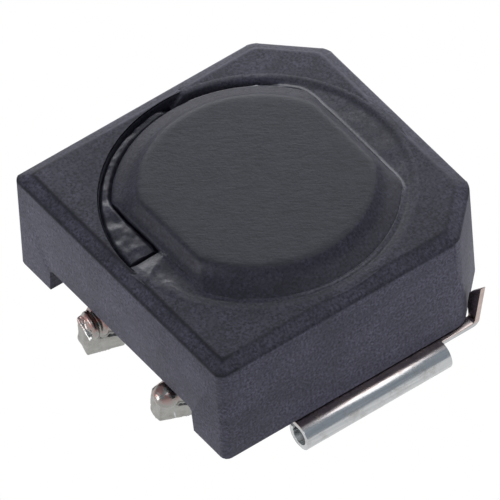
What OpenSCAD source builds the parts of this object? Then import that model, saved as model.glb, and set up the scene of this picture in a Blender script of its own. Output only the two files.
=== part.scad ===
// Shielded surface-mount power inductor.
// A wound ferrite drum core sits in the round bore of a square ferrite shield ring. Both stand on two
// sheet-metal terminals whose outer edges are rolled into the long bars that are soldered to the board.
// Z = 0 is the seating plane under the rolled bars, X points from the left bar to the right bar, and the
// two wire ends leave through the wide notch in the -Y side.

/* [Shield ring] */
// Width and depth of the square ring
ring_side = 12.0; // [11.6:0.1:13]
// Height of the ring
ring_h = 4.4; // [3.8:0.1:5.6]
// Thinnest wall between the bore and the sides
ring_wall = 0.6; // [0.5:0.05:0.8]
// Leg of the two corners that are cut off at 45 degrees
corner_cut = 1.9; // [1.5:0.1:2.4]
// Radius of the upright corners
corner_r = 0.3; // [0.1:0.05:0.5]
// Width of the bevel round the top edge
bevel_w = 0.5; // [0.2:0.05:0.55]
// Height of the bevel round the top edge
bevel_h = 0.3; // [0.1:0.05:0.6]
// Small chamfer round the bottom edge
foot_edge = 0.12; // [0.05:0.01:0.2]

/* [Wire notch in the ring] */
// Width of the foot on each side of the notch
foot_w = 1.75; // [1.5:0.05:2.5]
// Height of the notch
notch_h = 1.05; // [0.8:0.05:1.4]
// How much each side wall of the notch leans in towards its roof
notch_lean = 0.15; // [0:0.05:0.3]
// Radius where the side walls meet the roof
notch_r = 0.2; // [0.1:0.05:0.3]

/* [Drum core] */
// Running gap between the flanges and the bore
core_gap = 0.42; // [0.3:0.02:0.5]
// Depth of the two flats cut into the round flanges
flat_depth = 0.83; // [0.6:0.01:1]
// Thickness of the lower flange
lower_flange_t = 1.0; // [0.7:0.1:1.2]
// Thickness of the upper flange at its rim
upper_flange_t = 1.0; // [0.7:0.1:1.2]
// Diameter of the post that carries the winding
post_d = 5.0; // [4:0.1:5.6]
// How far the rim of the upper flange lies below the top of the ring
rim_drop = 0.02; // [0:0.01:0.2]
// Height of the shallow slope that rises from the rim
ledge_h = 0.2; // [0.1:0.02:0.3]
// Width of the shallow slope along the round rim
ledge_w = 0.58; // [0.4:0.02:0.7]
// Width of the shallow slope along the flats
ledge_flat_w = 0.25; // [0.15:0.05:0.4]
// Height of the steeper step above the slope
step_h = 0.4; // [0.2:0.02:0.5]
// Width of the step along the round rim
step_w = 0.4; // [0.3:0.05:0.6]
// Width of the step along the flats
step_flat_w = 0.25; // [0.15:0.05:0.4]

/* [Winding] */
// Diameter of the enamelled wire
wire_d = 0.3; // [0.24:0.02:0.34]
// How far the finished winding stays inside the rim of the flanges
coil_inset = 0.93; // [0.86:0.01:1.4]
// Clearance between the winding and the core
coil_gap = 0.03; // [0.01:0.01:0.06]
// Clearance between the leads and the flat of the lower flange
lead_gap = 0.28; // [0.2:0.02:0.36]
// Turns of each wire end round its terminal ear
wrap_turns = 1.4; // [1:0.1:1.6]

/* [Terminals] */
// Thickness of the tin-plated sheet
sheet_t = 0.2; // [0.15:0.01:0.24]
// Outer diameter of the rolled bar
roll_d = 1.1; // [1:0.05:1.3]
// Length of the rolled bar
roll_len = 6.1; // [5:0.1:6.6]
// How far the middle of the roll lies outside the ring
roll_out = 0.14; // [0:0.02:0.3]
// Angle through which the sheet is rolled
roll_sweep = 292; // [240:2:300]
// Depth of the flat pressed on the underside of the roll
sole_cut = 0.02; // [0.01:0.005:0.03]
// Gap between the inner edges of the two plates
plate_gap = 2.6; // [2:0.1:3]
// Front edge of the plates, measured from the middle
plate_front = 3.7; // [3.4:0.1:4]
// Back edge of the plates, measured from the middle
plate_back = 3.4; // [3.3:0.1:3.6]
// How far the plates stay inside the ring beside the rolls
plate_inset = 0.8; // [0.6:0.1:1.2]
// How far the back arm stands out from the side of the ring
arm_out = 0.12; // [0.05:0.01:0.2]
// Width of the back arm
arm_w = 1.5; // [1:0.1:2]
// Thickness of the adhesive between the plates and the ferrite
bond_t = 0.05; // [0.02:0.01:0.1]
// How far the adhesive stays inside the edges of the plates
bond_inset = 0.35; // [0.2:0.05:0.5]

/* [Corner tabs] */
// Distance from the start of the corner cut to the tab
tab_gap = 0.46; // [0.46:0.02:0.6]
// Height of the tab above the bottom of the plate
tab_h = 1.66; // [1.2:0.02:1.8]
// Width of the tab where it leaves the arm
tab_root = 0.38; // [0.3:0.02:0.38]
// Width of the tab at its widest
tab_w = 0.54; // [0.44:0.02:0.54]
// Angle at which the tab leans away from the ring
tab_lean = 13; // [10:1:20]

/* [Soldered ears] */
// Distance between the two ears
ear_pitch = 4.1; // [3.6:0.05:4.2]
// How far the middle between the ears lies off the middle of the part
ear_offset = 0.4; // [0:0.05:0.5]
// Width of an ear
ear_w = 0.5; // [0.4:0.05:0.6]
// Length of the ear before it steps down
ear_reach = 0.35; // [0.3:0.05:0.45]
// Length of the sloping step of the ear
ear_step = 0.65; // [0.55:0.05:0.7]
// How far the ear steps down below the plate
ear_drop = 0.64; // [0.5:0.02:0.7]
// How far the upturned end lies inside the face of the ring
ear_inset = 0.2; // [0.1:0.02:0.3]
// Height of the upturned end above the bottom of the ear
ear_h = 1.3; // [1.1:0.05:1.5]
// Clearance between the wrapped wire and the ear
wrap_gap = 0.02; // [0.01:0.01:0.04]
// Thickness of the solder over the wire
solder_t = 0.08; // [0.04:0.01:0.12]

/* [Adhesive in the gap] */
// Depth of the adhesive beads
bead_depth = 0.8; // [0.5:0.05:0.95]
// How far the short bead stays below the top of the ring
short_bead_drop = 0.22; // [0.1:0.02:0.35]
// Angle at which the long bead starts
long_bead_from = -86; // [-90:1:-80]
// Angle at which the long bead ends
long_bead_to = 150; // [140:1:160]
// Angle at which the short bead starts
short_bead_from = 176; // [170:1:185]
// Angle at which the short bead ends
short_bead_to = 266; // [255:1:268]

/* [Hidden] */
$fn = 64;
skin = 0.01;                                   // thickness of a slab that only shapes a hull
roll_r = roll_d / 2;
roll_x = ring_side / 2 + roll_out;
roll_z = roll_r - sole_cut;
plate_top = roll_z + roll_r;
plate_mid = plate_top - sheet_t / 2;
base_z = plate_top + bond_t;                   // the ring and the core stand here
ring_top = base_z + ring_h;
bore_d = ring_side - 2 * ring_wall;
notch_w = ring_side - 2 * foot_w;
flange_r = bore_d / 2 - core_gap;
flange_af = 2 * (flange_r - flat_depth);
ledge_r = flange_r - ledge_w;
ledge_af = flange_af - 2 * ledge_flat_w;
disc_r = ledge_r - step_w;
disc_af = ledge_af - 2 * step_flat_w;
coil_r = flange_r - coil_inset;
lead_y = flange_af / 2 + lead_gap + wire_d / 2;
rim_z = ring_top - rim_drop;
top_z = rim_z + ledge_h + step_h;
window_z = base_z + lower_flange_t;
window_h = rim_z - upper_flange_t - window_z;
arm_x = ring_side / 2 + arm_out;
tab_y = ring_side / 2 - corner_cut + tab_gap;
bend_r = sheet_t;                              // radius of the middle of the sheet in each bend
ear_right = ear_offset + ear_pitch / 2;
ear_left = ear_offset - ear_pitch / 2;
ear_y = -ring_side / 2 + ear_inset + sheet_t / 2;
ear_z = plate_mid - ear_drop;
wrap_r = norm([ear_w, sheet_t]) / 2 + wire_d / 2 + wrap_gap;
lead_z = window_z + 1.2 * wire_d;               // where the leads leave the coil

// Points along an arc
function arc(c, r, a0, a1, n) = [for (i = [0:n]) let (a = a0 + (a1 - a0) * i / n) c + r * [cos(a), sin(a)]];

function unit(v) = v / norm(v);

// Direction and length of the mitre at point i of a flat path, for an offset of 1
function mitre(p, i) =
    let (a = i > 0 ? unit(p[i] - p[i - 1]) : unit(p[1] - p[0]),
         b = i < len(p) - 1 ? unit(p[i + 1] - p[i]) : a,
         m = unit(a + b))
    [-m[1], m[0]] / (m * a);

// A bent strip of sheet in section
module strip(path, t) {
    last = len(path) - 1;
    polygon(concat([for (i = [0:last]) path[i] + mitre(path, i) * t / 2],
                   [for (i = [last:-1:0]) path[i] - mitre(path, i) * t / 2]));
}

// Stands a Y-Z section on edge and gives it a width along X
module along_x(width) {
    rotate([90, 0, 90]) linear_extrude(width) children();
}

// A smooth curve through a list of points
function curve(p, n) = concat(
    [for (i = [0:len(p) - 2]) for (k = [0:n - 1])
        let (a = p[max(i - 1, 0)], b = p[i], c = p[i + 1], d = p[min(i + 2, len(p) - 1)], t = k / n)
        0.5 * (2 * b + (c - a) * t + (2 * a - 5 * b + 4 * c - d) * t * t + (3 * b - a - 3 * c + d) * t * t * t)],
    [p[len(p) - 1]]);

// Direction of a path at point i
function heading(p, i) = unit(p[min(i + 1, len(p) - 1)] - p[max(i - 1, 0)]);

// Vector v carried along by the turn that takes direction a to direction b
function carry(v, a, b) = let (c = cross(a, b), d = a * b) v * d + cross(c, v) + c * (c * v) / (1 + d);

function normals(p, n, i = 0) =
    i == len(p) - 1 ? [n] : concat([n], normals(p, carry(n, heading(p, i), heading(p, i + 1)), i + 1));

// A round wire swept along a path
module wire(path, d, sides = 10) {
    first = heading(path, 0);
    side = normals(path, unit(cross(first, [0.3, 0.5, 1])));
    last = len(path) - 1;
    points = [for (i = [0:last]) let (t = heading(path, i), b = cross(t, side[i])) for (k = [0:sides - 1])
        path[i] + d / 2 * (cos(360 * k / sides) * side[i] + sin(360 * k / sides) * b)];
    walls = [for (i = [0:last - 1]) for (k = [0:sides - 1]) let (j = (k + 1) % sides)
        each [[i * sides + k, (i + 1) * sides + k, (i + 1) * sides + j], [i * sides + k, (i + 1) * sides + j, i * sides + j]]];
    polyhedron(points, concat([[for (k = [0:sides - 1]) k]], walls, [[for (k = [sides - 1:-1:0]) last * sides + k]]));
}

// Outline of the ring, drawn in by a distance
module ring_outline(inset) {
    h = ring_side / 2 - inset;
    c = corner_cut - inset * (2 - sqrt(2));
    r = corner_r;
    hull() {
        for (x = [-1, 1]) {
            translate([x * (h - r), -h + r]) circle(r);
            translate([x * (h - r), h - c - r * (sqrt(2) - 1)]) circle(r);
            translate([x * (h - c - r * (sqrt(2) - 1)), h - r]) circle(r);
        }
    }
}

// The bevelled block that the ring is cut from
module ring_block() {
    hull() {
        linear_extrude(skin) ring_outline(foot_edge);
        translate([0, 0, foot_edge]) linear_extrude(ring_h - bevel_h - foot_edge) ring_outline(0);
        translate([0, 0, ring_h - skin]) linear_extrude(skin) ring_outline(bevel_w);
    }
}

// Section of the notch through which the wires leave
module notch_section() {
    roof = notch_w / 2 - notch_lean - notch_r;
    hull() {
        translate([-notch_w / 2, -skin]) square([notch_w, skin]);
        for (x = [-1, 1]) translate([x * roof, notch_h - notch_r]) circle(notch_r);
    }
}

module shield_ring() {
    color([0.17, 0.17, 0.19]) translate([0, 0, base_z]) difference() {
        ring_block();
        translate([0, 0, -ring_h / 2]) cylinder(h = 2 * ring_h, d = bore_d, $fn = 128);
        rotate([90, 0, 0]) linear_extrude(ring_side) notch_section();
    }
}

// A body turned about Z and cut by flats that face +Y and -Y; each row gives radius, half width, height
module turned(rows) {
    last = len(rows) - 1;
    intersection() {
        rotate_extrude($fn = 128)
            polygon(concat([[0, rows[0][2]]], [for (q = rows) [q[0], q[2]]], [[0, rows[last][2]]]));
        translate([-bore_d / 2, 0, 0]) along_x(bore_d)
            polygon(concat([for (q = rows) [q[1], q[2]]], [for (i = [last:-1:0]) [-rows[i][1], rows[i][2]]]));
    }
}

module drum_core() {
    rim = flange_af / 2;
    neck = post_d / 2;
    color([0.24, 0.25, 0.26]) turned([
        [flange_r, rim, base_z], [flange_r, rim, window_z],
        [neck, rim, window_z], [neck, rim, window_z + window_h],
        [flange_r, rim, window_z + window_h], [flange_r, rim, rim_z],
        [ledge_r, ledge_af / 2, rim_z + ledge_h], [disc_r, disc_af / 2, top_z]]);
}

// Path of one wire end: off the coil, down past the lower flange, then round the ear
function lead_path(x, s) =
    let (w = wire_d, wrap_z = base_z + 0.7 * w)
    concat(
        curve([[x - 5 * w * s, -coil_r + 0.7 * w, lead_z], [x - 3 * w * s, -coil_r, lead_z],
               [x - 1.3 * w * s, -lead_y + 0.7 * w, lead_z - 0.3 * w], [x, -lead_y, lead_z - 1.5 * w],
               [x, -lead_y - 0.2 * w, base_z + 2.3 * w], [x - 0.2 * w * s, ear_y + wrap_r + 1.7 * w, base_z + 1.2 * w],
               [x + wrap_r * cos(100) * s, ear_y + wrap_r * sin(100), wrap_z]], 4),
        [for (i = [1:16]) let (a = 100 + 360 * wrap_turns * i / 16)
            [x + wrap_r * cos(a) * s, ear_y + wrap_r * sin(a), wrap_z - i / 16 * wrap_turns * w * 1.1]]);

module winding() {
    rows = floor((window_h - 2 * coil_gap) / wire_d);
    pitch = (window_h - 2 * coil_gap - wire_d) / (rows - 1);
    core_r = post_d / 2 + coil_gap;
    color([0.62, 0.33, 0.16]) {
        translate([0, 0, window_z + coil_gap]) rotate_extrude($fn = 96) {
            translate([core_r, wire_d / 2]) square([coil_r - wire_d / 2 - core_r, pitch * (rows - 1)]);
            for (i = [0:rows - 1]) translate([coil_r - wire_d / 2, wire_d / 2 + i * pitch]) circle(d = wire_d);
        }
        wire(lead_path(ear_right, 1), wire_d);
        wire(lead_path(ear_left, -1), wire_d);
    }
}

// The flat plate of the right terminal, seen from above
module plate_outline() {
    side = ring_side / 2 - plate_inset;
    polygon([[plate_gap / 2, -plate_front], [side, -plate_front], [side, -roll_len / 2], [roll_x, -roll_len / 2],
             [roll_x, roll_len / 2], [arm_x, roll_len / 2], [arm_x, tab_y - bend_r],
             [arm_x - arm_w, tab_y - bend_r], [arm_x - arm_w, plate_back], [plate_gap / 2, plate_back]]);
}

// The rolled edge: a tube with a gap on its inner side and a flat pressed underneath
module roll() {
    end = 90 - roll_sweep;
    translate([roll_x, roll_len / 2, roll_z]) rotate([90, 0, 0]) difference() {
        cylinder(h = roll_len, r = roll_r);
        translate([0, 0, -roll_d]) cylinder(h = roll_len + 2 * roll_d, r = roll_r - sheet_t);
        translate([0, 0, -roll_d]) linear_extrude(roll_len + 2 * roll_d)
            polygon([[0, 0], 2 * roll_d * [cos(end), sin(end)], 2 * roll_d * [cos(130), sin(130)], [0, 2 * roll_d]]);
        translate([-roll_d, -roll_z - roll_d, -roll_d]) cube([2 * roll_d, roll_d, roll_len + 2 * roll_d]);
    }
}

// The tab that stands up in the cut corner: an upturned end of the arm with a slanted top
module tab() {
    up = 90 - tab_lean;
    straight = tab_h - sheet_t / 2;
    bend = arc([tab_y - bend_r, plate_mid + bend_r], bend_r, -90, up - 90, 6);
    foot = bend[len(bend) - 1];
    difference() {
        translate([arm_x - tab_w, 0, 0]) along_x(tab_w)
            strip(concat([[tab_y - bend_r - sheet_t, plate_mid]], bend, [foot + (straight / sin(up)) * [cos(up), sin(up)]]), sheet_t);
        translate([arm_x, 0, plate_top - sheet_t + tab_h]) rotate([0, -45, 0]) translate([-tab_h, 0, 0])
            cube([2 * tab_h, ring_side, 2 * tab_h]);
        translate([arm_x - tab_root, 0, plate_top]) rotate([0, -20, 0]) translate([-tab_h, 0, -tab_h])
            cube([tab_h, ring_side, 1.4 * tab_h]);
    }
}

// The ear: a strip that steps down from the plate, runs out to the notch and turns up
module ear(x) {
    low = [[-plate_front + sheet_t, plate_mid], [-plate_front - ear_reach, plate_mid],
           [-plate_front - ear_reach - ear_step, ear_z]];
    bend = arc([ear_y + bend_r, ear_z + bend_r], bend_r, 270, 180, 5);
    translate([x - ear_w / 2, 0, 0]) along_x(ear_w)
        strip(concat(low, bend, [[ear_y, ear_z - sheet_t / 2 + ear_h]]), sheet_t);
}

module terminal(ear_x) {
    translate([0, 0, plate_top - sheet_t]) linear_extrude(sheet_t) plate_outline();
    roll();
    tab();
    ear(ear_x);
}

module terminal_right() {
    color([0.78, 0.78, 0.76]) terminal(ear_right);
}

module terminal_left() {
    color([0.78, 0.78, 0.76]) mirror([1, 0, 0]) terminal(-ear_left);
}

// Solder round a wrapped ear: the lump, less the ear and the wire that it holds
module solder(x, s) {
    r = wrap_r + wire_d / 2 + solder_t;
    difference() {
        hull() {
            translate([x, ear_y, base_z + wire_d / 2]) sphere(r, $fn = 24);
            translate([x, ear_y, ear_z + 2 * sheet_t]) sphere(0.8 * r, $fn = 24);
        }
        ear(x);
        wire(lead_path(x, s), wire_d);
    }
}

module solder_right() {
    color([0.72, 0.73, 0.74]) solder(ear_right, 1);
}

module solder_left() {
    color([0.72, 0.73, 0.74]) solder(ear_left, -1);
}

// Adhesive between the upper flange and the bore, from one angle to another
module bead(from, to, drop) {
    difference() {
        translate([0, 0, ring_top - bead_depth]) cylinder(h = bead_depth - drop, d = bore_d, $fn = 128);
        turned([[flange_r, flange_af / 2, window_z], [flange_r, flange_af / 2, top_z]]);
        translate([0, 0, ring_top - 2 * bead_depth]) linear_extrude(3 * bead_depth)
            polygon(concat([[0, 0]], [for (i = [0:8]) let (a = to + (from + 360 - to) * i / 8) ring_side * [cos(a), sin(a)]]));
    }
}

module adhesive_long_bead() {
    color([0.2, 0.2, 0.22]) bead(long_bead_from, long_bead_to, 0);
}

module adhesive_short_bead() {
    color([0.28, 0.28, 0.28]) bead(short_bead_from, short_bead_to, short_bead_drop);
}

// Thin adhesive between a plate and the ferrite above it
module terminal_bond() {
    side = ring_side / 2 - plate_inset - bond_inset;
    x = plate_gap / 2 + bond_inset;
    translate([x, -plate_front + bond_inset, plate_top])
        cube([side - x, plate_front + plate_back - 2 * bond_inset, bond_t]);
}

module terminal_bond_right() {
    color([0.3, 0.3, 0.3]) terminal_bond();
}

module terminal_bond_left() {
    color([0.3, 0.3, 0.3]) mirror([1, 0, 0]) terminal_bond();
}

shield_ring();
drum_core();
winding();
terminal_right();
terminal_left();
solder_right();
solder_left();
adhesive_long_bead();
adhesive_short_bead();
terminal_bond_right();
terminal_bond_left();
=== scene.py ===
# %% [markdown]
# # A shielded surface-mount inductor
# The real part is a wound ferrite drum glued into a square ferrite ring, which stands on two bent sheet
# terminals. The solids come from the CAD frame. Here each one gets the soft edges, the glue, the solder
# and the finishes of the real thing, one piece and one finish at a time.

# %% Load the frame
import bpy
from math import radians, degrees, sin, cos, atan2, exp, hypot, pi
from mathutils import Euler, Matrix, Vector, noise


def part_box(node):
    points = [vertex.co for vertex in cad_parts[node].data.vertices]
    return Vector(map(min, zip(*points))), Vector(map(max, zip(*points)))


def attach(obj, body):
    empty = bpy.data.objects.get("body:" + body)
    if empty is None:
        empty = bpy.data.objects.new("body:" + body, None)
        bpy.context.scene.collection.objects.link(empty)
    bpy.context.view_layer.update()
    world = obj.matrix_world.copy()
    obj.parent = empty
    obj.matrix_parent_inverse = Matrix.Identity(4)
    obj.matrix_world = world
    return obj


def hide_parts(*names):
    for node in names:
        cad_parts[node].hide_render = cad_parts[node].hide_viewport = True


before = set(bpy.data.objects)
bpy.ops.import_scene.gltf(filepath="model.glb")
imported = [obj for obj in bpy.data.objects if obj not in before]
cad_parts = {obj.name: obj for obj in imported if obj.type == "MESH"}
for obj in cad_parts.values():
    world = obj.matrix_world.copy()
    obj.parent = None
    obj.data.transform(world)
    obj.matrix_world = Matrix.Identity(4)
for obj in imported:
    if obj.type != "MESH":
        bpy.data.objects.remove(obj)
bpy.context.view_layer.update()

MM = 0.001
ring_low, ring_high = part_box("shield_ring")
core_low, core_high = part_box("drum_core")
print("ring from", tuple(ring_low), "to", tuple(ring_high))

# %% [markdown]
# ## Camera
# A very long lens gives the flat, nearly parallel view of a product shot. The camera stands on a sphere
# round the part, set by an azimuth, an elevation and a slight roll, and aims a little behind the near
# corner. A short lens close by would be quicker to set, but it would make the near corner too large.

# %% Camera
AZIMUTH, ELEVATION, ROLL = 57.1, 47.2, -4.4
DISTANCE, LENS = 0.65, 1381.0
back = Vector((sin(radians(AZIMUTH)) * cos(radians(ELEVATION)),
               -cos(radians(AZIMUTH)) * cos(radians(ELEVATION)), sin(radians(ELEVATION))))
turn = back.to_track_quat("Z", "Y") @ Euler((0, 0, radians(ROLL))).to_quaternion()
right, up = turn @ Vector((1, 0, 0)), turn @ Vector((0, 1, 0))
near_corner = Vector((6.0 * MM, -6.0 * MM, ring_low.z))
aim = near_corner + right * 0.831 * MM + up * 7.194 * MM
bpy.ops.object.camera_add(location=aim + back * DISTANCE, rotation=turn.to_euler())
camera = bpy.context.object
camera.data.lens, camera.data.sensor_width = LENS, 36.0
camera.data.clip_start, camera.data.clip_end = 0.01, 10.0
bpy.context.scene.camera = camera
bpy.context.scene.view_settings.view_transform = "Standard"
print("camera right", tuple(right), "up", tuple(up))

# %% [markdown]
# ## Colours and nodes
# Colours are written as sRGB hex values, as in a paint program, and one function turns them to the
# linear light that shaders count in. One more function adds a shader node. Each of its inputs takes a
# plain value, a socket, or a whole node, whose first live output is then used.

# %% Colour and node helpers
def paint(code):
    """An sRGB hex colour as linear RGBA."""
    parts = [int(code[i:i + 2], 16) / 255 for i in (1, 3, 5)]
    return tuple(c / 12.92 if c <= 0.04045 else ((c + 0.055) / 1.055) ** 2.4 for c in parts) + (1.0,)


def add(tree, kind, inputs=None, **settings):
    """Adds a node with its settings, values and links."""
    node = tree.nodes.new(kind)
    for name, value in settings.items():
        setattr(node, name, value)
    for key, value in (inputs or {}).items():
        if isinstance(value, bpy.types.Node):
            value = next(s for s in value.outputs if s.enabled)
        if isinstance(value, bpy.types.NodeSocket):
            tree.links.new(value, node.inputs[key])
        else:
            node.inputs[key].default_value = value
    return node


def new_material(name):
    """An empty node material, and its coordinates in the object's own space."""
    material = bpy.data.materials.new(name)
    material.use_nodes = True
    material.node_tree.nodes.clear()
    return material, material.node_tree, add(material.node_tree, "ShaderNodeTexCoord").outputs["Object"]


def finish(tree, **sockets):
    """Closes a material with one Principled shader and its output."""
    shader = add(tree, "ShaderNodeBsdfPrincipled", {k.replace("_", " "): v for k, v in sockets.items()})
    add(tree, "ShaderNodeOutputMaterial", {"Surface": shader})


print("#808080 is", round(paint("#808080")[0], 3), "in linear light")

# %% [markdown]
# ## Sintered ferrite
# Ferrite is pressed from black iron oxide powder and fired. The eye gets a nearly black, dull grey with
# a violet cast, a fine salt-and-pepper of grains and broad, faint clouds where the powder was denser.
# Real grains are about 10 microns and would not show, so they are drawn at 0.1 to 0.3 mm. Three noises
# of falling size mix three close colours, which looks more like powder than one strong noise does.

# %% Ferrite recipe
def speckle(tree, coord, dark, mid, light):
    """Grains, crumbs and clouds of pressed powder: a colour and a height."""
    grain = add(tree, "ShaderNodeTexNoise", {"Vector": coord, "Scale": 1 / (0.10 * MM), "Detail": 2.0,
                                             "Roughness": 0.6})
    crumb = add(tree, "ShaderNodeTexNoise", {"Vector": coord, "Scale": 1 / (0.32 * MM), "Detail": 2.0})
    cloud = add(tree, "ShaderNodeTexNoise", {"Vector": coord, "Scale": 1 / (1.9 * MM), "Detail": 3.0})
    salt = add(tree, "ShaderNodeMapRange", {0: grain.outputs[0], 1: 0.34, 2: 0.66})
    c = add(tree, "ShaderNodeMix", {0: salt, 6: dark, 7: light}, data_type="RGBA")
    lump = add(tree, "ShaderNodeMapRange", {0: crumb.outputs[0], 1: 0.38, 2: 0.66, 3: 0.1, 4: 0.6})
    c = add(tree, "ShaderNodeMix", {0: lump, 6: c, 7: mid}, data_type="RGBA")
    haze = add(tree, "ShaderNodeMapRange", {0: cloud.outputs[0], 1: 0.3, 2: 0.7, 3: 0.8, 4: 1.18})
    c = add(tree, "ShaderNodeVectorMath", {0: c, 1: haze}, operation="MULTIPLY")
    rubbed = add(tree, "ShaderNodeMapping", {"Vector": coord, "Rotation": (0, radians(8), radians(4)),
                                             "Scale": (0.5 * MM, 2.6 * MM, 0.28 * MM)}, vector_type="TEXTURE")
    smear = add(tree, "ShaderNodeTexNoise", {"Vector": rubbed, "Scale": 1.0, "Detail": 3.0, "Distortion": 0.5})
    smear = add(tree, "ShaderNodeMapRange", {0: smear.outputs[0], 1: 0.35, 2: 0.7, 3: 0.9, 4: 1.16})
    c = add(tree, "ShaderNodeVectorMath", {0: c, 1: smear}, operation="MULTIPLY")
    return c, grain.outputs[0]


# %% [markdown]
# ## The ring's finish
# A fine line of painted shade runs where the bevel starts and where it ends: dark on the near sides, and at the back a
# pale painted highlight. The distance from the outline is worked out from the position, so that the lines follow all
# sides and the two cut corners.

# %% Ring ferrite
HALF, CUT, BEVEL_IN, BEVEL_DOWN = 6.0 * MM, 1.9 * MM, 0.5 * MM, 0.3 * MM


def ring_finish():
    material, tree, coord = new_material("sintered ferrite, pressed ring")
    c, grain = speckle(tree, coord, paint("#2f2e3a"), paint("#474753"), paint("#636375"))
    size = add(tree, "ShaderNodeVectorMath", {0: coord}, operation="ABSOLUTE")
    flat = add(tree, "ShaderNodeSeparateXYZ", {0: size})
    spot = add(tree, "ShaderNodeSeparateXYZ", {0: coord})
    wide = add(tree, "ShaderNodeMath", {0: flat.outputs[0], 1: flat.outputs[1]}, operation="MAXIMUM")
    # the cut corners: |x| + y over the root of two, set so that the cut face also counts as HALF
    slant = add(tree, "ShaderNodeMath", {0: flat.outputs[0], 1: spot.outputs[1]}, operation="ADD")
    slant = add(tree, "ShaderNodeMath", {0: slant, 1: 0.7071, 2: HALF - (2 * HALF - CUT) * 0.7071},
                operation="MULTIPLY_ADD")
    reach = add(tree, "ShaderNodeMath", {0: wide, 1: slant}, operation="MAXIMUM")
    lines = None
    for value, middle, spread in ((reach, HALF - BEVEL_IN, 0.13 * MM),
                                  (spot.outputs[2], ring_high.z - BEVEL_DOWN + 0.01 * MM, 0.09 * MM)):
        off = add(tree, "ShaderNodeMath", {0: value, 1: -middle}, operation="ADD")
        off = add(tree, "ShaderNodeMath", {0: off}, operation="ABSOLUTE")
        line = add(tree, "ShaderNodeMapRange", {0: off, 1: 0.0, 2: spread, 3: 1.0, 4: 0.0},
                   interpolation_type="SMOOTHSTEP")
        lines = line if lines is None else add(tree, "ShaderNodeMath", {0: lines, 1: line}, operation="MAXIMUM")
    upper = add(tree, "ShaderNodeMapRange", {0: spot.outputs[2], 1: ring_high.z - 0.5 * MM,
                                             2: ring_high.z - 0.3 * MM, 3: 0.0, 4: 1.0})
    lines = add(tree, "ShaderNodeMath", {0: lines, 1: upper}, operation="MULTIPLY")
    # painted shade: the edge lines are dark along the -Y side and less so along +X; at the back they turn pale, a
    # painted highlight
    painted_edge_weight = add(tree, "ShaderNodeMapRange", {0: spot.outputs[1], 1: -5.2 * MM, 2: -5.0 * MM, 3: 0.75, 4: 0.42})
    painted_edge_weight = add(tree, "ShaderNodeMath", {0: lines, 1: painted_edge_weight}, operation="MULTIPLY")
    # towards the back the edge colour turns from painted shade to a painted highlight
    behind = add(tree, "ShaderNodeMath", {0: spot.outputs[1], 1: spot.outputs[0]}, operation="SUBTRACT")
    behind = add(tree, "ShaderNodeMapRange", {0: behind, 1: 1.0 * MM, 2: 4.0 * MM, 3: 0.0, 4: 1.0})
    edge = add(tree, "ShaderNodeMix", {0: behind, 6: paint("#16141b"), 7: paint("#7d7d8e")}, data_type="RGBA")
    c = add(tree, "ShaderNodeMix", {0: painted_edge_weight, 6: c, 7: edge}, data_type="RGBA")
    bump = add(tree, "ShaderNodeBump", {"Height": grain, "Strength": 0.3, "Distance": 0.02 * MM})
    finish(tree, Base_Color=c, Roughness=0.62, Specular_IOR_Level=0.25, Normal=bump)
    return material


ring_ferrite = ring_finish()

# %% [markdown]
# ## The drum's finish
# The top of the drum is ground flat on a wheel, which leaves short, wavy scratches that all run one way
# and a slightly greener grey. Grinding marks are 10 to 20 microns apart; here they are 0.08 mm wide and
# 0.5 mm long so that they show. Stretching a noise with a Mapping node gives them their direction.

# %% Core ferrite
def core_finish():
    material, tree, coord = new_material("sintered ferrite, ground drum")
    c, grain = speckle(tree, coord, paint("#1f1e28"), paint("#32313c"), paint("#484757"))
    turned = add(tree, "ShaderNodeMapping", {"Vector": coord, "Rotation": (0, 0, radians(51)),
                                             "Scale": (0.5 * MM, 0.09 * MM, 0.3 * MM)}, vector_type="TEXTURE")
    marks = add(tree, "ShaderNodeTexNoise", {"Vector": turned, "Scale": 1.0, "Detail": 3.0, "Distortion": 1.2})
    tone = add(tree, "ShaderNodeMapRange", {0: marks.outputs[0], 1: 0.36, 2: 0.66})
    ground = add(tree, "ShaderNodeMix", {0: tone, 6: paint("#36383f"), 7: paint("#50535c")}, data_type="RGBA")
    z = add(tree, "ShaderNodeSeparateXYZ", {0: coord}).outputs[2]
    up_here = add(tree, "ShaderNodeMapRange", {0: z, 1: core_high.z - 0.09 * MM, 2: core_high.z - 0.01 * MM,
                                               3: 0.0, 4: 0.7})
    c = add(tree, "ShaderNodeMix", {0: up_here, 6: c, 7: ground}, data_type="RGBA")
    low = add(tree, "ShaderNodeBump", {"Height": grain, "Strength": 0.45, "Distance": 0.02 * MM})
    both = add(tree, "ShaderNodeBump", {"Height": marks.outputs[0], "Strength": 0.5, "Distance": 0.012 * MM,
                                        "Normal": low})
    finish(tree, Base_Color=c, Roughness=0.55, Specular_IOR_Level=0.3, Normal=both)
    return material


core_ferrite = core_finish()
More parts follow.
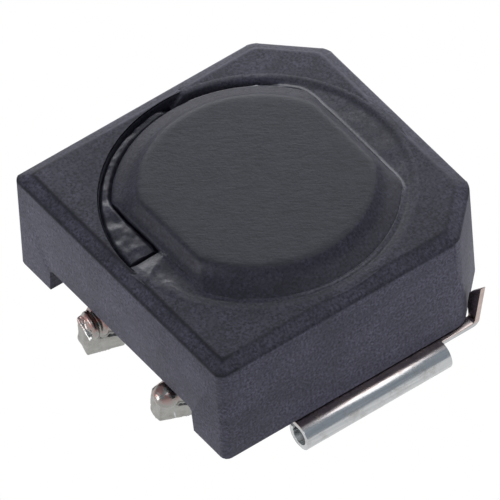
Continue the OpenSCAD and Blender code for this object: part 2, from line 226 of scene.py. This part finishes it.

# %% [markdown]
# ## Tin-plated sheet
# The terminals are a copper alloy strip with a bright tin plating. The eye gets a soft mirror with faint lines along
# the rolling direction. Up against the ring's underside the colour holds a brown painted reflection of the ring's dark
# side and its shade.
# A noise stretched along Y makes the lines and also varies the roughness, so that no reflection is even.

# %% Tin plate
def tin_finish():
    material, tree, coord = new_material("tin-plated copper alloy sheet")
    drawn = add(tree, "ShaderNodeMapping", {"Vector": coord,
                                            "Scale": (1 / (0.07 * MM), 1 / (1.6 * MM), 1 / (0.07 * MM))})
    lines = add(tree, "ShaderNodeTexNoise", {"Vector": drawn, "Scale": 1.0, "Detail": 3.0})
    stain = add(tree, "ShaderNodeTexNoise", {"Vector": coord, "Scale": 1 / (0.5 * MM), "Detail": 4.0,
                                             "Roughness": 0.65})
    c = add(tree, "ShaderNodeMix", {0: lines.outputs[0], 6: paint("#a4a9ae"), 7: paint("#cbcbca")},
            data_type="RGBA")
    dull = add(tree, "ShaderNodeMapRange", {0: stain.outputs[0], 1: 0.52, 2: 0.72, 3: 0.0, 4: 0.55})
    c = add(tree, "ShaderNodeMix", {0: dull, 6: c, 7: paint("#948d89")}, data_type="RGBA")
    # painted reflection and shade: a brown tint along the top of the bend and on the upper tab stands for the dark
    # ring mirrored there
    z = add(tree, "ShaderNodeSeparateXYZ", {0: coord}).outputs[2]
    warm = add(tree, "ShaderNodeMapRange", {0: z, 1: 0.97 * MM, 2: 1.1 * MM, 3: 0.0, 4: 0.5},
               interpolation_type="SMOOTHSTEP")
    c = add(tree, "ShaderNodeMix", {0: warm, 6: c, 7: paint("#b79486")}, data_type="RGBA")
    rough = add(tree, "ShaderNodeMapRange", {0: stain.outputs[0], 1: 0.3, 2: 0.7, 3: 0.17, 4: 0.3})
    bump = add(tree, "ShaderNodeBump", {"Height": lines.outputs[0], "Strength": 0.25, "Distance": 0.006 * MM})
    finish(tree, Base_Color=c, Metallic=1.0, Roughness=rough, Normal=bump)
    return material


tin = tin_finish()

# %% [markdown]
# ## Solder
# Tin solder freezes with a grey satin skin that is bright where it was smooth and pitted where flux
# boiled out. On the wire it is thin, and pink copper shows. Small pits come from a Voronoi texture.

# %% Solder
def solder_finish():
    material, tree, coord = new_material("tin solder over copper wire")
    skin = add(tree, "ShaderNodeTexNoise", {"Vector": coord, "Scale": 1 / (0.22 * MM), "Detail": 4.0,
                                            "Roughness": 0.65})
    pits = add(tree, "ShaderNodeTexVoronoi", {"Vector": coord, "Scale": 1 / (0.16 * MM)})
    spot = add(tree, "ShaderNodeSeparateXYZ", {0: coord})
    c = add(tree, "ShaderNodeMix", {0: skin.outputs[0], 6: paint("#6e6c69"), 7: paint("#b4b4b1")},
            data_type="RGBA")
    high = add(tree, "ShaderNodeMapRange", {0: spot.outputs[2], 1: 1.15 * MM, 2: 1.6 * MM, 3: 0.0, 4: 1.0})
    thin = add(tree, "ShaderNodeMapRange", {0: skin.outputs[0], 1: 0.40, 2: 0.56, 3: 0.0, 4: 0.75})
    bare = add(tree, "ShaderNodeMath", {0: high, 1: thin}, operation="MULTIPLY")
    c = add(tree, "ShaderNodeMix", {0: bare, 6: c, 7: paint("#93605a")}, data_type="RGBA")
    rough = add(tree, "ShaderNodeMapRange", {0: skin.outputs[0], 1: 0.3, 2: 0.7, 3: 0.2, 4: 0.42})
    low = add(tree, "ShaderNodeBump", {"Height": skin.outputs[0], "Strength": 0.4, "Distance": 0.03 * MM})
    both = add(tree, "ShaderNodeBump", {"Height": pits.outputs[0], "Strength": 0.25, "Distance": 0.02 * MM,
                                        "Normal": low})
    finish(tree, Base_Color=c, Metallic=1.0, Roughness=rough, Normal=both)
    return material


solder_metal = solder_finish()

# %% [markdown]
# ## Epoxy
# The glue that holds the drum is a black epoxy filled with ferrite dust. On top it dries as dull as the
# ferrite and is hard to tell from it. Where it creeps up the drum's edge it stays resin-rich and glossy,
# and that thin line catches the light. The same powder recipe is used, with a roughness set by radius.

# %% Epoxy
def epoxy_finish(name, shiny_to, gloss):
    material, tree, coord = new_material(name)
    c, grain = speckle(tree, coord, paint("#2c2b37"), paint("#444450"), paint("#5e5e70"))
    flat = add(tree, "ShaderNodeVectorMath", {0: coord, 1: (1, 1, 0)}, operation="MULTIPLY")
    radius = add(tree, "ShaderNodeVectorMath", {0: flat}, operation="LENGTH").outputs["Value"]
    rough = add(tree, "ShaderNodeMapRange", {0: radius, 1: shiny_to - 0.12 * MM, 2: shiny_to, 3: gloss, 4: 0.6},
                interpolation_type="SMOOTHSTEP")
    bump = add(tree, "ShaderNodeBump", {"Height": grain, "Strength": 0.25, "Distance": 0.015 * MM})
    finish(tree, Base_Color=c, Roughness=rough, Specular_IOR_Level=0.35, Normal=bump)
    return material


epoxy = epoxy_finish("ferrite-filled epoxy", 5.22 * MM, 0.34)
epoxy_low = epoxy_finish("resin-rich epoxy", 5.6 * MM, 0.42)

# %% [markdown]
# ## Enamelled wire
# The winding is copper wire with a clear amber enamel: a warm metal under a glossy coat. The turns lie 0.3 mm apart,
# so a Wave texture along Z draws their ridges, and its colour paints shade into the dark lines between them.

# %% Enamelled copper
def wire_finish():
    material, tree, coord = new_material("enamelled copper wire")
    turns = add(tree, "ShaderNodeTexWave", {"Vector": coord, "Scale": 0.314 / (0.3 * MM), "Distortion": 0.15},
                bands_direction="Z")
    blur = add(tree, "ShaderNodeTexNoise", {"Vector": coord, "Scale": 1 / (0.6 * MM), "Detail": 3.0})
    # painted shade: the colour is darkest in the lines between the turns
    c = add(tree, "ShaderNodeMix", {0: turns, 6: paint("#4a2416"), 7: paint("#b8683c")}, data_type="RGBA")
    shade = add(tree, "ShaderNodeMapRange", {0: blur.outputs[0], 1: 0.3, 2: 0.7, 3: 0.75, 4: 1.1})
    c = add(tree, "ShaderNodeVectorMath", {0: c, 1: shade}, operation="MULTIPLY")
    bump = add(tree, "ShaderNodeBump", {"Height": turns, "Strength": 0.8, "Distance": 0.08 * MM})
    finish(tree, Base_Color=c, Metallic=0.9, Roughness=0.3, Coat_Weight=0.6, Coat_Roughness=0.12, Normal=bump)
    return material


enamel = wire_finish()
print("materials:", ", ".join(m.name for m in bpy.data.materials if m.use_nodes))

# %% [markdown]
# ## Modelling tools
# These few helpers do what a hand does in the viewport: deselect, open a piece in edit mode, pick faces
# or edges by where they are, bake the place into the mesh, cut with a tool, round the edges.

# %% Modelling helpers
def deselect():
    """Leaves edit mode and selects nothing."""
    if bpy.context.mode != "OBJECT":
        bpy.ops.object.mode_set(mode="OBJECT")
    bpy.ops.object.select_all(action="DESELECT")


def take(piece):
    """Makes a piece the only selected one."""
    deselect()
    bpy.context.view_layer.objects.active = piece
    piece.select_set(True)


def edit(piece):
    """Opens a piece in edit mode, all selected."""
    take(piece)
    bpy.ops.object.mode_set(mode="EDIT")
    bpy.ops.mesh.select_all(action="SELECT")


def pick(piece, kind, test):
    """Selects only the vertices, edges or faces of the edited piece that pass a test."""
    bpy.ops.mesh.select_mode(type={"vertices": "VERT", "edges": "EDGE", "polygons": "FACE"}[kind])
    bpy.ops.mesh.select_all(action="DESELECT")
    bpy.ops.object.mode_set(mode="OBJECT")
    for item in getattr(piece.data, kind):
        item.select = test(item)
    bpy.ops.object.mode_set(mode="EDIT")


def place(name=None):
    """Puts the new piece's place into its mesh, so that its object sits at the origin."""
    piece = bpy.context.object
    take(piece)
    bpy.ops.object.transform_apply(location=True, rotation=True, scale=True)
    piece.name = name or piece.name
    return piece


def box(name, low, high):
    """A block between two corners."""
    deselect()
    bpy.ops.mesh.primitive_cube_add(size=1, location=(Vector(low) + Vector(high)) / 2,
                                    scale=Vector(high) - Vector(low))
    return place(name)


def modify(piece, kind, **settings):
    """Adds one modifier and applies it."""
    take(piece)
    step = piece.modifiers.new("step", kind)
    for key, value in settings.items():
        setattr(step, key, value)
    bpy.ops.object.modifier_apply(modifier="step")


def cut(piece, tool, operation="DIFFERENCE"):
    """Cuts a piece with a tool, which is then thrown away."""
    modify(piece, "BOOLEAN", operation=operation, object=tool, solver="EXACT")
    bpy.data.objects.remove(tool)


def carry(piece, where):
    """Carries every vertex to the place that a function gives for it."""
    for vertex in piece.data.vertices:
        vertex.co = where(vertex.co.copy())


def dress(piece, material, slot, *nodes):
    """Gives a piece its finish, hangs it under the root and hides the CAD solids that it stands for."""
    take(piece)
    piece.data.materials.clear()
    piece.data.materials.append(material)
    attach(piece, "root")
    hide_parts(*nodes)
    print(piece.name, len(piece.data.polygons), "faces, dressed in", material.name)


def ends(piece, e):
    """The two end points of an edge."""
    return [piece.data.vertices[i].co for i in e.vertices]


def level(piece, e, z):
    """True for an edge that lies at height z."""
    return all(abs(v.z - z) < 0.004 * MM for v in ends(piece, e))


# %% [markdown]
# ## The ring's block
# On the real part this is a square of pressed ferrite with two cut corners and a bevel round the top.
# It starts as a cube. Two bisects take off the corners, an inset of the top face with a rise makes the
# bevel, and only then the upright edges are rounded: an inset round a tight corner would fold over.

# %% Ring block
ring = box("ring_body", (-HALF, -HALF, ring_low.z), (HALF, HALF, ring_high.z - BEVEL_DOWN))
for side in (1, -1):
    edit(ring)
    bpy.ops.mesh.bisect(plane_co=(side * HALF, HALF - CUT, 0), plane_no=(side, 1, 0), use_fill=True, clear_outer=True)
edit(ring)
pick(ring, "polygons", lambda f: f.normal.z > 0.9)
bpy.ops.mesh.inset(thickness=BEVEL_IN, depth=BEVEL_DOWN)
pick(ring, "edges", lambda e: abs(ends(ring, e)[0].z - ends(ring, e)[1].z) > 0.1 * MM)
bpy.ops.mesh.bevel(offset=0.26 * MM, segments=4, affect="EDGES")
shoulder = ring_high.z - BEVEL_DOWN
pick(ring, "edges", lambda e: level(ring, e, shoulder) or level(ring, e, ring_high.z))
bpy.ops.mesh.bevel(offset=0.06 * MM, segments=3, affect="EDGES", clamp_overlap=True)
pick(ring, "edges", lambda e: level(ring, e, ring_low.z))
bpy.ops.mesh.bevel(offset=0.045 * MM, segments=3, affect="EDGES", clamp_overlap=True)
print("block:", len(ring.data.polygons), "faces before the last edit")

# %% [markdown]
# ## The ring's bore and notch
# The bore's cutter is a cylinder whose ends flare in two small steps, so that the cut leaves a rounded
# lip. The notch for the wires is cut with a box whose roof is narrower and has rounded corners, as the
# press needs to let go of the part. One boolean each is cleaner here than bridging loops by hand.

# %% Bore and notch
BORE = 5.4 * MM
deselect()
bpy.ops.mesh.primitive_cylinder_add(vertices=144, radius=BORE, depth=ring_high.z - ring_low.z - 0.12 * MM,
                                    location=(0, 0, (ring_low.z + ring_high.z) / 2))
bore = place("bore")
edit(bore)
for way in (1, -1):
    pick(bore, "polygons", lambda f: f.normal.z * way > 0.9)
    for grow, rise in ((0.018, 0.042), (0.042, 0.018), (0.0, 1.0)):
        bpy.ops.mesh.extrude_region_move(TRANSFORM_OT_translate={"value": (0, 0, way * rise * MM)})
        bpy.ops.transform.resize(value=(1 + grow * MM / BORE, 1 + grow * MM / BORE, 1))
deselect()
cut(ring, bore)
notch = box("notch", (-4.25 * MM, -7 * MM, ring_low.z - 1 * MM), (4.25 * MM, -3 * MM, ring_low.z + 1.05 * MM))
edit(notch)
pick(notch, "edges", lambda e: all(v.z > ring_low.z for v in ends(notch, e))
     and abs(ends(notch, e)[0].y - ends(notch, e)[1].y) > 1 * MM)
bpy.ops.transform.resize(value=(0.965, 1, 1))
bpy.ops.mesh.bevel(offset=0.2 * MM, segments=5, affect="EDGES")
deselect()
cut(ring, notch)
edit(ring)
pick(ring, "edges", lambda e: all(v.y < -5.995 * MM and ring_low.z + 0.1 * MM < v.z < ring_low.z + 1.07 * MM
                                  and abs(v.x) < 4.3 * MM for v in ends(ring, e)))
bpy.ops.mesh.bevel(offset=0.05 * MM, segments=2, affect="EDGES")
take(ring)
bpy.ops.object.shade_smooth_by_angle(angle=radians(25))
dress(ring, ring_ferrite, "ring_ferrite", "shield_ring")

# %% [markdown]
# ## The drum
# The core is one turned piece: a post between two flanges, with two flats ground on them, and a raised
# disc on top. Its half section is spun round Z, and a block with stepped sides then takes the flats. The
# press rounds everything a little and the disc most of all, so the mesh is melted into small even faces
# and relaxed, the disc longer than the rest. A bevel can't round a corner that runs out to nothing.

# %% Drum profile
rim, top = core_high.z - 0.6 * MM, core_high.z
FLANGE = 4.98
profile = [(0, core_low.z), (FLANGE, core_low.z), (FLANGE, core_low.z + 1.0 * MM), (2.5, core_low.z + 1.0 * MM),
           (2.5, rim - 1.0 * MM), (FLANGE, rim - 1.0 * MM), (FLANGE, rim), (4.46, rim + 0.17 * MM),
           (4.24, rim + 0.32 * MM), (4.06, top), (0, top)]
mesh = bpy.data.meshes.new("core_body")
mesh.from_pydata([(r * MM, 0, z) for r, z in profile], [(i, i + 1) for i in range(len(profile) - 1)], [])
core = bpy.data.objects.new("core_body", mesh)
bpy.context.collection.objects.link(core)
edit(core)
bpy.ops.mesh.spin(steps=160, angle=2 * pi, center=(0, 0, 0), axis=(0, 0, 1))
bpy.ops.mesh.select_all(action="SELECT")
bpy.ops.mesh.remove_doubles(threshold=0.000002)
bpy.ops.mesh.normals_make_consistent(inside=False)
wedge = box("wedge", (-6 * MM, -4.15 * MM, core_low.z - 1 * MM), (6 * MM, 4.15 * MM, rim))
edit(wedge)
pick(wedge, "polygons", lambda f: f.normal.z > 0.9)
for rise, width in ((0.17, 3.9 / 4.15), (0.43, 3.7 / 3.9), (0.2, 1.0)):
    bpy.ops.mesh.extrude_region_move(TRANSFORM_OT_translate={"value": (0, 0, rise * MM)})
    bpy.ops.transform.resize(value=(1, width, 1))
deselect()
cut(core, wedge, "INTERSECT")
print("drum:", len(core.data.polygons), "faces with its flats")

# %% Drum, pressed soft
modify(core, "REMESH", mode="VOXEL", voxel_size=0.07 * MM, adaptivity=0.0)
modify(core, "SMOOTH", factor=0.5, iterations=6)
disc = core.vertex_groups.new(name="disc")
for v in core.data.vertices:
    share = min(max((v.co.z - rim - 0.06 * MM) / (0.16 * MM), 0), 1)
    if share:
        disc.add([v.index], share, "REPLACE")
modify(core, "SMOOTH", factor=0.5, iterations=34, vertex_group="disc")
core.vertex_groups.clear()
bpy.ops.object.shade_smooth()
dress(core, core_ferrite, "core_ferrite", "drum_core")

# %% [markdown]
# ## The glue beads
# Two runs of epoxy fill the gap between drum and ring. The long one is level with the ring, laps a hair's breadth over
# its lip and creeps up the drum's edge. The short one sits lower, crowned between two grooves along the walls. Each
# starts as a flat grid. Its columns are carried round the gap and its rows across it, with a height for every spot,
# and extrusions give it depth. A spin can't follow both the round and the flats.

# %% Bead tools
def step(value, low, high):
    """A smooth step from 0 at low to 1 at high."""
    t = min(max((value - low) / (high - low), 0), 1)
    return t * t * (3 - 2 * t)


def drum_edge(angle):
    """The drum's outline at an angle, in mm: a circle with two flats, its corners eased."""
    flat = 4.15 / max(abs(sin(angle)), 1e-6)
    ease = max(0.3 - abs(FLANGE - flat), 0) / 0.3
    return min(FLANGE, flat) - ease * ease * 0.3 / 4


def bead(name, start, stop, outer, columns, rows, height, material, node, lap=0.0):
    """A run of glue from one angle to another, with its height given in mm above the ring's top."""
    deselect()
    bpy.ops.mesh.primitive_grid_add(x_subdivisions=columns, y_subdivisions=rows, size=1)
    piece = place(name)

    def where(co):
        angle = radians(start + (co.x + 0.5) * (stop - start))
        inner = drum_edge(angle) + 0.005 - lap
        r = inner + (outer - inner) * (co.y + 0.5) ** 0.9
        z = ring_high.z + height(angle, r, r - inner - lap) * MM
        return Vector((r * MM * cos(angle), r * MM * sin(angle), z))

    carry(piece, where)
    edit(piece)
    for drop in (0.03, 0.62):
        bpy.ops.mesh.extrude_region_move(TRANSFORM_OT_translate={"value": (0, 0, -drop * MM)})
        bpy.ops.object.mode_set(mode="OBJECT")
        for v in piece.data.vertices:
            if v.select:
                angle, r = atan2(v.co.y, v.co.x), hypot(v.co.x, v.co.y)
                kept = min(max(r, (drum_edge(angle) + 0.01) * MM), 5.385 * MM)
                v.co.x, v.co.y = v.co.x * kept / r, v.co.y * kept / r
        bpy.ops.object.mode_set(mode="EDIT")
    bpy.ops.mesh.select_all(action="SELECT")
    bpy.ops.mesh.normals_make_consistent(inside=False)
    take(piece)
    bpy.ops.object.shade_smooth_by_angle(angle=radians(50))
    dress(piece, material, "gap_epoxy", node)


# %% Long bead
LAP = 0.09


def long_height(angle, r, off):
    """Laps over the drum's rim, dips, comes level with the ring and ends in a thin film on it."""
    around = degrees(angle)
    x, y = r * cos(angle), r * sin(angle)
    wave = noise.noise(Vector((x * 1.3, y * 1.3, 2.0)))
    fine = noise.noise(Vector((x * 5, y * 5, 4.0)))
    dip = 0.05 + 0.012 * wave + 0.004 * fine
    climb = exp(-((max(off, -0.03) + 0.03) / 0.075) ** 2)
    z = -dip + (dip - 0.004) * climb + (dip + 0.006) * step(r, 5.1, 5.42)
    z -= 0.03 * step(-off, 0.03, LAP) + 0.018 * step(r, 5.43, 5.62)
    # the dab where the glue gun stopped: a fold and a thicker drop
    z += 0.05 * exp(-((x - 1.7) / 0.7) ** 2 - ((y + 4.95) / 0.22) ** 2) * (1 + fine)
    z += 0.05 * exp(-((x - 0.75 + 0.6 * (y + 5.0)) / 0.1) ** 2) * step(r, 4.5, 4.8) * step(-r, -5.5, -5.3)
    # a narrow open channel along the drum at the far end, and the two run-out ends
    channel = step(around, 132, 150)
    z -= channel * 0.4 * step(-off, -0.3, -0.16) * step(off, -LAP, -0.02)
    z -= 0.4 * step(around, 172, 178)
    return z - 0.08 * (1 - step(around, -89, -84))


bead("glue_long", -89, 178, 5.62, 300, 26, long_height, epoxy, "adhesive_long_bead", LAP)

# %% Short bead
def short_height(angle, r, off):
    """Lies lower, crowned between two dark grooves."""
    x, y = r * cos(angle), r * sin(angle)
    wave = noise.noise(Vector((x * 1.7, y * 1.7, 7.0)))
    fine = noise.noise(Vector((x * 4.5, y * 4.5, 9.0)))
    around = degrees(angle) % 360
    z = -0.15 + 0.08 * step(around, 195, 215) + 0.06 * wave + 0.03 * fine
    z -= 0.17 * exp(-((5.39 - r) / 0.06) ** 2) + 0.2 * exp(-(max(off, 0) / 0.1) ** 2)
    return min(z, -0.01) - 0.3 * (1 - step(around, 179, 184)) - 0.06 * step(around, 263, 269)


bead("glue_short", 179, 269, 5.385, 120, 18, short_height, epoxy_low, "adhesive_short_bead")

# %% [markdown]
# ## Soldered wire ends
# Each end of the winding is wrapped round a lug of its terminal and dipped in solder. What is left is a lopsided lump
# with the ridges of the wire in it. A cube, cut into small faces, has its eight corners carried to where the lump's
# corners are. Rings of wire and a ball join it, and the whole is melted together, relaxed and dented with noise. A
# ball alone would be quicker, but solder on a flat lug keeps the lug's corners.

# %% Solder lumps
def lump(name, corners, wraps, ball, seed, node):
    """Corners are (x, y, z) in mm from the ring's bottom, for left/right, outer/inner, low/high."""
    deselect()
    bpy.ops.mesh.primitive_cube_add(size=1)
    piece = place(name)
    edit(piece)
    bpy.ops.mesh.subdivide(number_cuts=9)
    deselect()
    base = Vector((0, 0, ring_low.z))

    def to_corners(co):
        u, v, w = co.x + 0.5, co.y + 0.5, co.z + 0.5
        out = Vector((0, 0, 0))
        for i, corner in enumerate(corners):
            out += Vector(corner) * (u if i & 1 else 1 - u) * (v if i & 2 else 1 - v) * (w if i & 4 else 1 - w)
        return out * MM + base

    carry(piece, to_corners)
    parts = [piece]
    for centre, tilt, size in wraps:
        deselect()
        bpy.ops.mesh.primitive_torus_add(major_radius=0.45 * MM, minor_radius=0.15 * MM, major_segments=48,
                                         minor_segments=12, location=Vector(centre) * MM + base,
                                         rotation=(radians(90 + tilt[0]), 0, radians(tilt[1])))
        bpy.context.object.scale = (size[0], size[1], 1)
        parts.append(place("wrap"))
    deselect()
    bpy.ops.mesh.primitive_uv_sphere_add(segments=32, ring_count=20, radius=1 * MM, location=Vector(ball[0]) * MM + base,
                                         scale=ball[1])
    parts.append(place("ball"))
    deselect()
    for part in parts:
        part.select_set(True)
    bpy.context.view_layer.objects.active = piece
    bpy.ops.object.join()
    modify(piece, "REMESH", mode="VOXEL", voxel_size=0.035 * MM, adaptivity=0.0)
    modify(piece, "SMOOTH", factor=0.5, iterations=22)
    carry(piece, lambda co: co + (co - base).normalized() * 0.05 * MM * noise.noise(co / MM * 2.4
                                                                                 + Vector((seed, 0, 0))))
    take(piece)
    bpy.ops.object.shade_smooth()
    dress(piece, solder_metal, "solder", node)


LEFT_LUG = [(-2.2, -6.32, -0.66), (-1.62, -6.36, -0.95), (-2.12, -5.1, -0.4), (-1.16, -5.06, -0.9),
            (-2.3, -6.24, 0.42), (-1.5, -6.26, -0.15), (-2.2, -5.1, 0.5), (-1.1, -5.06, -0.25)]
lump("solder_lump_left", LEFT_LUG,
     [((-1.82, -6.0, 0.22), (6, -10), (0.85, 0.95)), ((-1.78, -5.7, 0.3), (-3, 4), (0.95, 1.05)),
      ((-1.74, -5.38, 0.3), (3, -3), (0.95, 1.05))], ((-1.8, -5.65, 0.2), (0.42, 0.5, 0.45)), 3.1, "solder_left")
RIGHT_LUG = [(1.9, -6.3, -0.66), (2.46, -6.3, -0.84), (1.98, -5.1, -0.35), (2.98, -5.06, -0.86),
             (1.86, -6.1, 0.3), (2.6, -6.25, -0.1), (1.9, -5.1, 0.5), (3.0, -5.06, -0.25)]
lump("solder_lump_right", RIGHT_LUG, [((2.36, -5.42, 0.28), (3, 5), (0.95, 1.0))],
     ((2.38, -5.8, 0.18), (0.46, 0.52, 0.5)), 9.4, "solder_right")

# %% [markdown]
# ## Terminals
# Each terminal is one strip of sheet: a plate under the ring, a rolled bar at its outer edge, an upper
# tab and a lug. The CAD solid already has that shape, so a copy of it is used. Its loose triangles are
# merged and melted into flat faces, and a narrow bevel rounds the sheared edges, which then catch light.

# %% Terminals
def merged_copy(node, name):
    """A copy of a CAD solid with its loose triangles joined, open in edit mode."""
    deselect()
    piece = bpy.data.objects.new(name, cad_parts[node].data.copy())
    bpy.context.collection.objects.link(piece)
    edit(piece)
    bpy.ops.mesh.remove_doubles(threshold=0.000002)
    return piece


def softened(node, name, width, segments, limit, material, slot):
    """A copy of a CAD solid with rounded edges."""
    piece = merged_copy(node, name)
    bpy.ops.mesh.dissolve_limited(angle_limit=radians(0.4))
    modify(piece, "BEVEL", width=width, segments=segments, limit_method="ANGLE", angle_limit=radians(limit),
           use_clamp_overlap=False, miter_outer="MITER_ARC")
    bpy.ops.object.shade_smooth_by_angle(angle=radians(30))
    dress(piece, material, slot, node)


softened("terminal_right", "terminal_right_body", 0.02 * MM, 2, 35, tin, "tinned_sheet")
softened("terminal_left", "terminal_left_body", 0.02 * MM, 2, 35, tin, "tinned_sheet")

# %% [markdown]
# ## Winding
# The CAD solid already has the ridge of every turn and both wire ends. Their last wraps are under the
# solder here, as ridges of the lumps, so a copy of the winding is cut off just above them with a bisect
# that also closes the two cuts.

# %% Winding
coil = merged_copy("winding", "winding_body")
bpy.ops.mesh.bisect(plane_co=(0, 0, ring_low.z + 0.42 * MM), plane_no=(0, 0, -1), use_fill=True, clear_outer=True)
take(coil)
bpy.ops.object.shade_smooth_by_angle(angle=radians(40))
dress(coil, enamel, "enamelled_copper", "winding")

# %% [markdown]
# ## Bonds
# The two thin glue bonds between the ring and the terminal plates are right as solids: they only get
# their finish.

# %% Bonds
for node in ("terminal_bond_right", "terminal_bond_left"):
    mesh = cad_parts[node].data
    mesh.materials.clear()
    mesh.materials.append(epoxy_low)
    print(node, "keeps its shape, in", epoxy_low.name)

# %% [markdown]
# ## Floor
# The floor is a plain white disc. The camera and every reflection see it as clean white light, by way of the Light
# Path node, while light that bounces off it treats it as white paint. So the part's shadow is only in the light that
# bounces off it.

# %% White floor
deselect()
bpy.ops.mesh.primitive_circle_add(vertices=96, radius=0.4, fill_type="NGON", location=(0, 0, 0))
floor = place("studio_floor")
material, tree, coord = new_material("white floor")
path = add(tree, "ShaderNodeLightPath").outputs
seen = add(tree, "ShaderNodeMath", {0: path["Is Camera Ray"], 1: path["Is Glossy Ray"]}, operation="MAXIMUM")
seen = add(tree, "ShaderNodeMath", {0: seen, 1: path["Is Transmission Ray"]}, operation="MAXIMUM")
seen = add(tree, "ShaderNodeMath", {0: seen, 1: 1.0}, operation="MULTIPLY")
matt = add(tree, "ShaderNodeBsdfDiffuse", {"Color": paint("#f2f2f2")})
glow = add(tree, "ShaderNodeEmission", {"Color": (1, 1, 1, 1), "Strength": 1.0})
both = add(tree, "ShaderNodeMixShader", {0: seen, 1: matt, 2: glow})
add(tree, "ShaderNodeOutputMaterial", {"Surface": both})
floor.data.materials.append(material)
print("floor radius", floor.dimensions.x / 2, "m")

# %% [markdown]
# ## Studio light
# The light comes low from the sides, as in a light tent lit from outside, so that the sides of the ring
# are brighter than its top. The air itself adds a little, and metal sees it as a pale blue-grey tent.

# %% World and lamps
world = bpy.data.worlds.new("studio air")
bpy.context.scene.world = world
world.use_nodes = True
world.node_tree.nodes.clear()
tree = world.node_tree
mirrored = add(tree, "ShaderNodeLightPath").outputs["Is Glossy Ray"]
strength = add(tree, "ShaderNodeMapRange", {0: mirrored, 1: 0.0, 2: 1.0, 3: 0.04, 4: 0.6})
air = add(tree, "ShaderNodeBackground", {"Color": paint("#cfd8e2"), "Strength": strength})
add(tree, "ShaderNodeOutputWorld", {"Surface": air})


def lamp(name, azimuth, elevation, distance, size, power, colour="#ffffff"):
    """A square softbox on a sphere round the part, aimed at it."""
    where = Vector((sin(radians(azimuth)) * cos(radians(elevation)),
                    -cos(radians(azimuth)) * cos(radians(elevation)), sin(radians(elevation))))
    bpy.ops.object.light_add(type="AREA", location=where * distance, rotation=where.to_track_quat("Z", "Y").to_euler())
    light = bpy.context.object
    light.name = name
    light.data.shape, light.data.size, light.data.energy = "SQUARE", size, power
    light.data.color = paint(colour)[:3]
    light.visible_camera = False
    return light


LAMPS = [lamp("front_card", -10, 8, 0.1, 0.055, 0.060), lamp("right_card", 115, 12, 0.1, 0.055, 0.048),
         lamp("back_box", -150, 25, 0.06, 0.033, 0.0105), lamp("left_box", -115, 25, 0.06, 0.033, 0.0140),
         lamp("strip_box", 150, 65, 0.1, 0.045, 0.017), lamp("spark", 57, 50, 0.1, 0.014, 0.0045)]
LAMPS[1].visible_glossy = False
LAMPS[4].visible_diffuse = LAMPS[5].visible_diffuse = False
print("lamps:", ", ".join(l.name for l in LAMPS))
